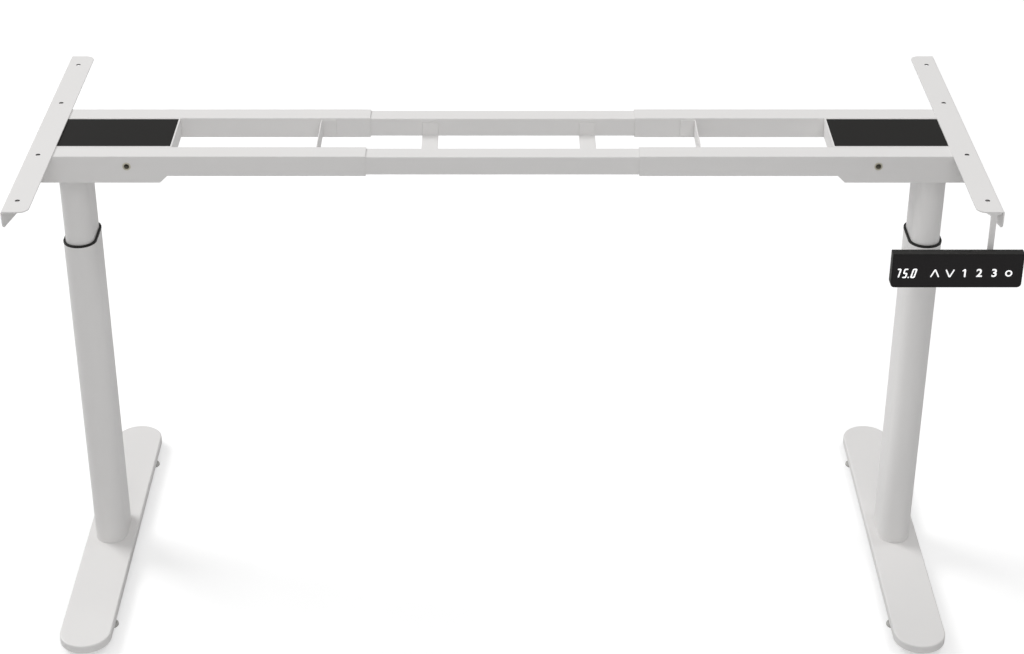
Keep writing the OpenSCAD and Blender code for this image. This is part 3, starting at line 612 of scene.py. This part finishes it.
@dataclass
class SideFrame:
    """One end of the desk frame above the column: rails, bracket, motor box and its parts."""

    hand: Hand
    axis_x: float
    edge_r: float = 0.0005
    fold_r: float = 0.0009
    cover_r: float = 0.0008
    bracket_face: float = 0.0545
    screw: SocketScrew = SocketScrew(0.0059, 0.0045, 0.0105, 0.0033)
    end_screw_y: float = 0.040
    end_screw_z: tuple[float, float] = (0.7565, 0.7785)
    plate_screw_x: float = 0.024
    plate_screw_y: float = 0.045
    plate_top: float = 0.7515
    rail_face: float = 0.092
    seam_z: float = 0.756
    seam_start: float = -0.0523
    seam_end: float = 0.1600
    fitting: ThreadedInsert = ThreadedInsert()
    insert_x: float = 0.100
    insert_z: float = 0.773
    hole_x: float = -0.0365
    hole_y: tuple[float, ...] = (-0.2525, -0.0895, 0.1125, 0.2755)
    hole_r: float = 0.00375
    # Width of the dark ring of painted shade in each desk top hole.
    hole_edge: float = 0.0006
    plate_z: tuple[float, float] = (0.790, 0.792)

    def place(self) -> Matrix:
        """Gives the place of the column axis, mirrored at the right end."""
        return self.hand.place(self.axis_x)

    def build(self) -> None:
        """Builds every piece of this end."""
        for name in ("outer_front_rail", "outer_rear_rail"):
            eased_part(self.hand.node(name), POWDER_COAT, self.edge_r)
        for name in ("bracket", "motor_box", "cross_web"):
            eased_part(self.hand.node(name), POWDER_COAT, self.fold_r, 3)
        eased_part(self.hand.node("motor_cover"), COVER_BLACK, self.cover_r, 3)
        self.screws()
        self.insert()
        self.seams()
        self.hole_edges()

    def hole_edges(self) -> None:
        """Lines the bracket's desk top holes with thin dark rings: painted shade on the hole
        walls and rims.
        """
        low, high = self.plate_z
        r, wall, step = self.hole_r - PROUD, self.hole_edge, self.hole_edge / 10
        ring = Sketch()
        ring.lathe([
            (r, low + step), (r, high - step), (r - wall / 2, high - step * 2),
            (r - wall, high - step * 4), (r - wall, low + step * 4),
            (r - wall / 2, low + step * 2), (r, low + step)], 32)
        made = Sketch().add(ring, [self.place() @ at(self.hole_x, y, 0) for y in self.hole_y])
        ring.bm.free()
        # The rings' dark finish is painted shade in the holes.
        made.piece(self.hand.node("hole_edges"), HOLE_SHADE_PAINT, self.hand.node("side"))

    def seams(self) -> None:
        """Fills the ground-flush seams between the rails and the motor box below them."""
        made = Sketch()
        face, z = self.rail_face + PROUD, self.seam_z
        outline = [(-face, z + 0.0019), (-face, z - 0.0013), (-face + 0.0008, z - 0.001),
                   (-face + 0.0013, z + 0.0001), (-face + 0.0007, z + 0.0015)]
        made.slab(outline, self.seam_end - self.seam_start)
        for flip in (1, -1):
            side = Matrix.Diagonal((1, flip, 1, 1))
            lay = self.place() @ side @ at(self.seam_start, 0, 0) @ ALONG_X
            copy = Sketch().add(made, [lay])
            name = "front_seam" if flip == 1 else "rear_seam"
            copy.piece(self.hand.node(name), POWDER_COAT, self.hand.node("side"))
        made.bm.free()

    def screw_places(self) -> list[Matrix]:
        """Gives the places of the screws, pointing out of their parts.

        Returns:
            One matrix for each screw.
        """
        out = turned("Y", -90)
        ends = [
            self.place() @ at(-self.bracket_face, y, z) @ out
            for y in (-self.end_screw_y, self.end_screw_y) for z in self.end_screw_z]
        plate = [
            self.place() @ at(x, y, self.plate_top)
            for x in (-self.plate_screw_x, self.plate_screw_x)
            for y in (-self.plate_screw_y, self.plate_screw_y)]
        return ends + plate

    def screws(self) -> None:
        """Builds the screws of this end."""
        made = Sketch().add(self.screw.sketch(), self.screw_places())
        if self.hand is Hand.RIGHT:
            made.add(HandsetScrews().sketch(), [Matrix.Identity(4)])
        piece = made.piece(self.hand.node("socket_screws"), ZINC, self.hand.node("side"))
        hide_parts(self.hand.node("screws"))

    def insert(self) -> None:
        """Fits the threaded insert in the front rail."""
        sleeve, thread = self.fitting.sleeve(), self.fitting.thread()
        rim_y = -self.rail_face - self.fitting.rim_h
        lay = self.place() @ at(self.insert_x, rim_y, self.insert_z)
        # The thread's darker brass is painted shade in the insert's bore.
        for sketch, name, finish in (
            (sleeve, "threaded_insert", PALE_BRASS), (thread, "insert_thread", PAINTED_SHADE_THREAD),
        ):
            sketch.move(lay @ turned("X", -90))
            piece = sketch.piece(self.hand.node(name), finish, self.hand.node("side"))
            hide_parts(self.hand.node("thread_insert"))


@dataclass
class HandsetScrews:
    """The four small screws that hold the handset's hanger."""

    screw: SocketScrew = SocketScrew(0.003, 0.0033, 0.0064, 0.002)
    middle_x: float = 0.726
    tab_pitch: float = 0.013
    tab_y: float = -0.276
    tab_z: float = 0.788
    case_pitch: float = 0.020
    case_y: float = -0.289
    case_z: float = 0.7120

    def sketch(self) -> Sketch:
        """Shapes the four screws in their places.

        Returns:
            The sketch.
        """
        x = self.middle_x + MIDDLE_X
        down = [
            at(x + side * self.tab_pitch / 2, self.tab_y, self.tab_z) @ turned("X", 180)
            for side in (-1, 1)]
        back = [
            at(x, self.case_y, self.case_z + side * self.case_pitch / 2) @ turned("X", -90)
            for side in (-1, 1)]
        return Sketch().add(self.screw.sketch(), down + back)


@dataclass
class Drive:
    """Motor, gears, spindle and nut of one end."""

    hand: Hand
    axis_x: float
    drive_z: float = 0.7665
    motor_x: float = 0.062
    motor_r: float = 0.0185
    motor_len: float = 0.084
    shaft_r: float = 0.00255
    shaft_end: float = 0.0105
    bush_r: float = 0.006
    bead: tuple[float, float] = (0.0065, 0.0085)
    sleeve: tuple[float, float] = (0.018, 0.0644)
    terminal: Triple = (0.0052, 0.0008, 0.007)
    terminal_y: float = 0.0115
    terminal_sink: float = 0.0005
    edge_r: float = 0.0004
    nut_edge: float = 0.0008
    housing_x: float = 0.034
    housing_hole: float = 0.0155
    spindle_r: float = 0.007
    thread_depth: float = 0.0013
    tooth_shares: Triple = (0.33, 0.47, 0.86)
    lead: float = 0.008
    spindle_low: float = 0.2505
    spindle_high: float = 0.7515
    flange_screw: SocketScrew = SocketScrew(0.003, 0.003, 0.0055, 0.0018)

    def place(self) -> Matrix:
        """Gives the place of the column axis, mirrored at the right end."""
        return self.hand.place(self.axis_x)

    def build(self) -> None:
        """Dresses the drive."""
        name = self.hand.node
        eased_part(name("gear_housing"), MOTOR_PAINT, self.edge_r)
        for node in ("sun_gear", "carrier"):
            dress(name(node), TURNED_STEEL)
        for number in (1, 2, 3):
            dress(name(f"planet_{number}"), NYLON)
        eased_part(name("nut_tube"), ZINC, self.edge_r)
        eased_part(name("spindle_nut"), TURNED_BRASS, self.nut_edge)
        self.motor()
        self.housing_screws()
        self.spindle()

    def motor(self) -> None:
        """Builds the motor's can with its end caps, sleeve and terminals."""
        r, long, bush = self.motor_r, self.motor_len, self.bush_r
        low, high = self.bead
        start, end = self.sleeve
        made = Sketch()
        made.lathe([
            (0.0, self.shaft_end), (self.shaft_r, self.shaft_end), (self.shaft_r, 0.0),
            (bush - 0.0002, 0.0), (bush, 0.0002), (bush, 0.0008), (r - 0.002, 0.0008),
            (r - 0.001, 0.0), (r - 0.0002, 0.0002), (r, 0.001), (r, low),
            (r - 0.0005, low + 0.0005), (r - 0.0005, high - 0.0005), (r, high), (r, start),
            (r - 0.0004, start + 0.0004), (r - 0.0004, end - 0.0004), (r, end),
            (r, long - 0.0035), (r - 0.0006, long - 0.0012), (r - 0.002, long - 0.0002),
            (r - 0.0032, long), (bush + 0.0022, long), (bush + 0.0002, long + 0.0006),
            (bush, long + 0.0012), (bush, long + 0.0026), (bush - 0.0005, long + 0.003),
            (0.0, long + 0.003)], 64)
        width, thick, height = self.terminal
        corners = ((-1, -1), (1, -1), (1, 1), (-1, 1))
        for side in (-1, 1):
            tab = made.slab([(u * width / 2, v * thick / 2) for u, v in corners], height)
            made.move(at(0, side * self.terminal_y, long - self.terminal_sink), tab)
        made.move(self.place() @ at(self.motor_x, 0, self.drive_z) @ turned("Y", 90))
        piece = made.piece(self.hand.node("motor_can"), MOTOR_PAINT, self.hand.node("side"))
        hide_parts(self.hand.node("motor"))

    def housing_screws(self) -> None:
        """Builds the four screws in the gear housing's square flange."""
        hole = self.housing_hole
        places = [
            self.place() @ at(self.housing_x, y, self.drive_z + z) @ turned("Y", -90)
            for y in (-hole, hole) for z in (-hole, hole)]
        made = Sketch().add(self.flange_screw.sketch(), places)
        made.piece(self.hand.node("housing_screws"), ZINC, self.hand.node("side"))

    def spindle(self) -> None:
        """Builds the lifting screw: a two-start thread under the CAD model's bevel wheel."""
        node, crest = self.hand.node("spindle"), self.spindle_r
        root = crest - self.thread_depth
        start = self.lead / 2
        land, foot, rise = (share * start for share in self.tooth_shares)
        tooth = [(crest, 0.0), (crest, land), (root, foot), (root, rise)]
        profile = [(r, z + n * start) for n in (0, 1) for r, z in tooth] + [(crest, self.lead)]
        length = self.spindle_high - self.spindle_low
        rod = Sketch()
        rod.helix(profile, self.lead, math.ceil(length / self.lead) + 2)
        rod.move(at(self.axis_x, 0, self.spindle_low - 1.5 * self.lead))
        rod.cut((0, 0, self.spindle_low), (0, 0, -1))
        rod.cut((0, 0, self.spindle_high), (0, 0, 1))
        body = self.hand.node("spindle_turn")
        screw = rod.piece(self.hand.node("lifting_screw"), TURNED_STEEL, body)
        wheel = Sketch.of_node(node)
        wheel.cut((0, 0, self.spindle_high), (0, 0, -1))
        top = wheel.piece(self.hand.node("bevel_wheel"), TURNED_STEEL, body, smooth=25.0)
        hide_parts(node)
        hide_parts(node)


@dataclass
class Leveller:
    """Levelling foot: moulded pad with a six-sided hub, on a threaded stud."""

    pad_r: float = 0.011
    pad_h: float = 0.006
    pad_edge: float = 0.0005
    hub_r: float = 0.007
    hub_top: float = 0.0132
    hub_seat: float = 0.0004
    stud_r: float = 0.00395
    stud_top: float = 0.0242
    thread_depth: float = 0.0006
    pitch: float = 0.00125

    def build(self, hand: Hand, number: int) -> None:
        """Builds one levelling foot in its place.

        Args:
            hand: End of the frame.
            number: Number of the levelling foot.
        """
        node, body = hand.node(f"leveller_{number}"), hand.node(f"level_{number}")
        low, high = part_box(node)
        place = at((low.x + high.x) / 2, (low.y + high.y) / 2, 0)
        base = self.pad().move(place).piece(f"{node}_pad", NYLON, body)
        stud = self.stud().move(place).piece(f"{node}_stud", ZINC, body)
        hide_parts(node)
        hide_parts(node)

    def pad(self) -> Sketch:
        """Shapes the moulded pad and its hub.

        Returns:
            The sketch.
        """
        r, h, hub, edge = self.pad_r, self.pad_h, self.hub_r, self.pad_edge
        made = Sketch()
        made.lathe([
            (0.0, 0.0008), (r - 0.003, 0.0008), (r - 0.0024, 0.0), (r - edge, 0.0),
            (r, 0.0006), (r, 0.003), (r - edge, 0.0042), (r - 0.0018, 0.0052),
            (hub + 0.0006, h), (0.0, h)], 40)
        made.lathe([
            (0.0, h - edge), (hub, h - edge), (hub, self.hub_top - edge),
            (hub - edge, self.hub_top), (0.0, self.hub_top)], 6)
        return made

    def stud(self) -> Sketch:
        """Shapes the threaded stud.

        Returns:
            The sketch.
        """
        crest, root, pitch = self.stud_r, self.stud_r - self.thread_depth, self.pitch
        low = self.hub_top - self.hub_seat
        turns = math.ceil((self.stud_top - low) / pitch) + 2
        made = Sketch()
        made.helix([(crest, 0.0), (root, pitch * 0.5), (crest, pitch)], pitch, turns)
        made.move(at(0, 0, low - pitch * 1.2))
        made.cut((0, 0, low), (0, 0, -1))
        made.cut((0, 0, self.stud_top), (0, 0, 1))
        return made


@dataclass
class Column:
    """One telescoping column with its foot and levelling feet."""

    hand: Hand
    axis_x: float
    edge_r: float = 0.0004
    screw: SocketScrew = SocketScrew(0.0079, 0.0105, 0.013, 0.005)
    screw_x: float = 0.012
    screw_y: float = 0.030
    screw_z: float = 0.0245

    def build(self) -> None:
        """Builds the column and what it stands on."""
        name = self.hand.node
        eased_part(name("upper_tube"), POWDER_COAT, self.edge_r)
        eased_part(name("lower_tube"), POWDER_COAT, self.edge_r)
        eased_part(name("collar"), MOULDED_BLACK, self.edge_r)
        eased_part(name("foot"), POWDER_COAT, self.edge_r)
        self.foot_screws()
        for number in (1, 2, 3, 4):
            Leveller().build(self.hand, number)

    def foot_screws(self) -> None:
        """Builds the screws that hold the column on its foot."""
        places = [
            at(self.axis_x + x, y, self.screw_z) @ turned("X", 180)
            for x in (-self.screw_x, self.screw_x) for y in (-self.screw_y, self.screw_y)]
        made = Sketch().add(self.screw.sketch(), places)
        piece = made.piece(self.hand.node("foot_socket_screws"), ZINC, self.hand.node("leg"))
        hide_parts(self.hand.node("foot_screws"))


class Segment(Enum):
    """Bars of a seven-bar digit, as start and end on a grid two high and one wide."""

    TOP = ((0, 2), (1, 2))
    UPPER_RIGHT = ((1, 2), (1, 1))
    LOWER_RIGHT = ((1, 1), (1, 0))
    BOTTOM = ((0, 0), (1, 0))
    LOWER_LEFT = ((0, 1), (0, 0))
    UPPER_LEFT = ((0, 2), (0, 1))
    MIDDLE = ((0, 1), (1, 1))


DIGIT_BARS: dict[str, tuple[Segment, ...]] = {
    "7": (Segment.TOP, Segment.UPPER_RIGHT, Segment.LOWER_RIGHT),
    "5": (Segment.TOP, Segment.UPPER_LEFT, Segment.MIDDLE, Segment.LOWER_RIGHT, Segment.BOTTOM),
    "0": tuple(s for s in Segment if s is not Segment.MIDDLE),
}


@dataclass
class Handset:
    """Touch handset under the right bracket, with its printed marks."""

    face_y: float = -0.306
    mark_t: float = 0.00006
    mark_z: float = 0.6977
    mark_sink: float = 0.00001
    case_r: float = 0.0006
    panel_r: float = 0.0003
    readout_x: Triple = (0.5855, 0.5963, 0.6090)
    digit_h: float = 0.0136
    digit_w: float = 0.0047
    lean: float = 0.225
    stroke: float = 0.0023
    overlap: float = 0.0005
    point_x: float = 0.6051
    point_r: float = 0.0012
    arrow_x: tuple[float, float] = (0.6444, 0.6666)
    arrow_h: float = 0.0132
    arrow_w: float = 0.0124
    arrow_stroke: float = 0.0021
    one_x: float = 0.6891
    one_stroke: float = 0.0026
    flag: Profile = ((-0.0042, 0.0036), (0.0005, 0.0066))
    flag_stroke: float = 0.0022
    number_x: tuple[float, float] = (0.7104, 0.7328)
    number_size: float = 0.0183
    number_weight: float = 0.00045
    ring_x: float = 0.7543
    ring_r: tuple[float, float] = (0.0031, 0.0054)
    body: str = "right_side"

    def build(self) -> None:
        """Builds the case, the panel, the hanger and the marks."""
        eased_part("handset_case", MOULDED_BLACK, self.case_r, 3)
        eased_part("handset_panel", GLOSS_PANEL, self.panel_r)
        eased_part("handset_hanger", POWDER_COAT, self.case_r, 3)
        self.readout()
        self.keys()

    def on_face(self, x: float, z: float) -> Matrix:
        """Gives the place of a mark on the front face, drawn in X and Y, facing the user."""
        return at(x + MIDDLE_X, self.face_y + self.mark_sink, z) @ turned("X", 90)

    def bar(self, made: Sketch, start: Vector, end: Vector, width: float) -> None:
        """Draws one bar with pointed ends.

        Args:
            made: Sketch that takes the bar.
            start: Where it starts.
            end: Where it ends.
            width: Its width.
        """
        along = (end - start).normalized()
        side = Vector((-along.y, along.x)) * width / 2
        tip = along * width / 2
        outline = [start, start + tip - side, end - tip - side, end, end - tip + side,
                   start + tip + side]
        made.slab([tuple(p) for p in outline], self.mark_t)

    def readout(self) -> None:
        """Builds the lit number on the display."""
        made = Sketch()
        width, half = self.digit_w, self.digit_h / 2
        for digit, x in zip("750", self.readout_x):
            shape = Sketch()
            for bar in DIGIT_BARS[digit]:
                start, end = (
                    Vector((u * width + v * half * self.lean, (v - 1) * half))
                    for u, v in bar.value)
                reach = (end - start).normalized() * self.overlap
                self.bar(shape, start - reach, end + reach, self.stroke)
            made.add(shape, [self.on_face(x, self.mark_z)])
        point = Sketch()
        r, thick = self.point_r, self.mark_t
        point.lathe([(0.0, 0.0), (r, 0.0), (r, thick), (0.0, thick)], 16)
        made.add(point, [self.on_face(self.point_x, self.mark_z - half)])
        made.piece("handset_readout", LIT_WHITE, self.body)

    def keys(self) -> None:
        """Builds the arrows, the numbers and the ring of the touch keys."""
        made = Sketch()
        for x, up in zip(self.arrow_x, (1, -1)):
            arrow = Sketch()
            tip, half = self.arrow_h / 2 * up, self.arrow_w / 2
            for side in (-1, 1):
                foot, top = Vector((side * half, -tip)), Vector((0.0, tip))
                self.bar(arrow, foot, top, self.arrow_stroke)
            made.add(arrow, [self.on_face(x, self.mark_z)])
        one, end = Sketch(), Vector((0.0, self.digit_h / 2))
        self.bar(one, -end, end, self.one_stroke)
        self.bar(one, *(Vector(point) for point in self.flag), self.flag_stroke)
        made.add(one, [self.on_face(self.one_x, self.mark_z)])
        ring = Sketch()
        bore, rim = self.ring_r
        ring.lathe([(bore, 0.0), (rim, 0.0), (rim, self.mark_t), (bore, self.mark_t),
                    (bore, 0.0)], 32)
        made.add(ring, [self.on_face(self.ring_x, self.mark_z)])
        made.piece("handset_key_marks", LIT_WHITE, self.body)
        for digit, x in zip("23", self.number_x):
            self.number(digit, x)

    def number(self, digit: str, x: float) -> None:
        """Builds a printed number.

        Args:
            digit: The number.
            x: Its middle across, from the frame's middle.
        """
        letters = bpy.data.curves.new(f"type_{digit}", "FONT")
        letters.body, letters.size = digit, self.number_size
        letters.extrude = self.mark_t / 2
        letters.align_x, letters.align_y = "CENTER", "CENTER"
        letters.offset = self.number_weight
        source = bpy.data.objects.new(f"type_{digit}", letters)
        bpy.context.scene.collection.objects.link(source)
        bpy.context.view_layer.update()
        mesh = bpy.data.meshes.new_from_object(source)
        bpy.data.objects.remove(source)
        mesh.transform(self.on_face(x, self.mark_z) @ at(0, 0, self.mark_t / 2))
        made = Sketch()
        made.bm.from_mesh(mesh)
        bpy.data.meshes.remove(mesh)
        made.piece(f"handset_number_{digit}", LIT_WHITE, self.body)


# Studio


@dataclass(frozen=True)
class Lamp:
    """Area lamp, or a spot lamp where it has a cone, in degrees."""

    name: str
    place: Triple
    aim: Triple
    size: float
    power: float
    cone: float = 0.0
    blend: float = 0.6

    def hang(self) -> None:
        """Hangs the lamp, turned to what it lights."""
        data = bpy.data.lights.new(self.name, "SPOT" if self.cone else "AREA")
        data.energy = self.power
        if self.cone:
            data.spot_size, data.spot_blend = math.radians(self.cone), self.blend
            data.shadow_soft_size = self.size
        else:
            data.size = self.size
        lamp = bpy.data.objects.new(self.name, data)
        lamp.location = self.place
        way = Vector(self.aim) - Vector(self.place)
        lamp.rotation_euler = way.to_track_quat("-Z", "Y").to_euler()
        bpy.context.scene.collection.objects.link(lamp)


LAMPS = (
    Lamp("key_lamp", (-6.6, 3.6, 7.2), (0.0, 0.0, 0.5), 4.8, 545.0),
    Lamp("right_lamp", (2.2, 0.3, 4.9), (0.0, 0.0, 0.6), 1.2, 33.0),
    Lamp("front_fill", (0.0, -4.1, 3.3), (0.0, 0.0, 0.4), 3.0, 46.0),
    Lamp("column_lamp", (-1.6, -1.0, 0.5), (0.66, 0.0, 0.44), 0.15, 24.0, cone=17.0),
)


@dataclass
class Studio:
    """Floor, backdrop, lamps and camera."""

    camera_place: Triple = (-0.01535, -3.1299, 2.1938)
    camera_dip: float = 29.347
    lens: float = 75.376
    sensor: float = 36.0
    clip: tuple[float, float] = (0.05, 60.0)
    shift_x: float = 0.00928
    floor_size: float = 12.0
    floor_grey: float = 0.62
    floor_roughness: float = 0.9
    floor_glow: float = 0.5
    ambient: float = 0.43

    def build(self) -> None:
        """Builds the studio."""
        self.floor()
        self.world()
        for lamp in LAMPS:
            lamp.hang()
        self.camera()

    def camera(self) -> None:
        """Places the camera at the photograph's viewing angle."""
        data = bpy.data.cameras.new("camera")
        data.sensor_fit, data.sensor_width = "HORIZONTAL", self.sensor
        data.lens, data.shift_x = self.lens, self.shift_x
        data.clip_start, data.clip_end = self.clip
        camera = bpy.data.objects.new("camera", data)
        camera.location = self.camera_place
        camera.rotation_euler = (math.radians(90 - self.camera_dip), 0.0, 0.0)
        bpy.context.scene.collection.objects.link(camera)
        bpy.context.scene.camera = camera

    def floor(self) -> None:
        """Lays the pale floor, which keeps the shadow of the frame."""
        bm = bmesh.new()
        bmesh.ops.create_grid(bm, x_segments=2, y_segments=2, size=self.floor_size)
        mesh = bpy.data.meshes.new("studio_floor")
        bm.to_mesh(mesh)
        bm.free()
        material = bpy.data.materials.new("studio_floor")
        material.use_nodes = True
        tree = material.node_tree
        shader = tree.nodes["Principled BSDF"]
        shader.inputs["Base Color"].default_value = (*[self.floor_grey] * 3, 1.0)
        shader.inputs["Roughness"].default_value = self.floor_roughness
        shader.inputs["Specular IOR Level"].default_value = 0.0
        path = tree.nodes.new("ShaderNodeLightPath")
        seen = tree.nodes.new("ShaderNodeMath")
        seen.operation = "MULTIPLY"
        seen.inputs[1].default_value = self.floor_glow
        tree.links.new(path.outputs["Is Camera Ray"], seen.inputs[0])
        shader.inputs["Emission Color"].default_value = (1.0, 1.0, 1.0, 1.0)
        tree.links.new(seen.outputs["Value"], shader.inputs["Emission Strength"])
        mesh.materials.append(material)
        floor = bpy.data.objects.new("studio_floor", mesh)
        bpy.context.scene.collection.objects.link(floor)

    def world(self) -> None:
        """Sets the pale surroundings: white to the camera, softer as light."""
        world = bpy.data.worlds.new("studio")
        bpy.context.scene.world = world
        world.use_nodes = True
        tree = world.node_tree
        back = tree.nodes["Background"]
        back.inputs["Color"].default_value = (1.0, 1.0, 1.0, 1.0)
        path = tree.nodes.new("ShaderNodeLightPath")
        level = tree.nodes.new("ShaderNodeMapRange")
        level.inputs["To Min"].default_value = self.ambient
        level.inputs["To Max"].default_value = 1.0
        tree.links.new(path.outputs["Is Camera Ray"], level.inputs["Value"])
        tree.links.new(level.outputs["Result"], back.inputs["Strength"])


def main() -> None:
    """Builds the pieces in order and reports each one."""
    logging.basicConfig(level=logging.INFO, format="%(name)s: %(message)s")
    bpy.context.scene.view_settings.view_transform = "Standard"
    Crossbar().build()
    log.info("crossbar built")
    for hand in Hand:
        axis_x = MIDDLE_X + hand.value * COLUMN_X
        SideFrame(hand, axis_x).build()
        Drive(hand, axis_x).build()
        Column(hand, axis_x).build()
        log.info("%s end built", hand.word)
    Handset().build()
    log.info("handset built")
    Studio().build()
    log.info("studio built")


if __name__ == "__main__":
    main()
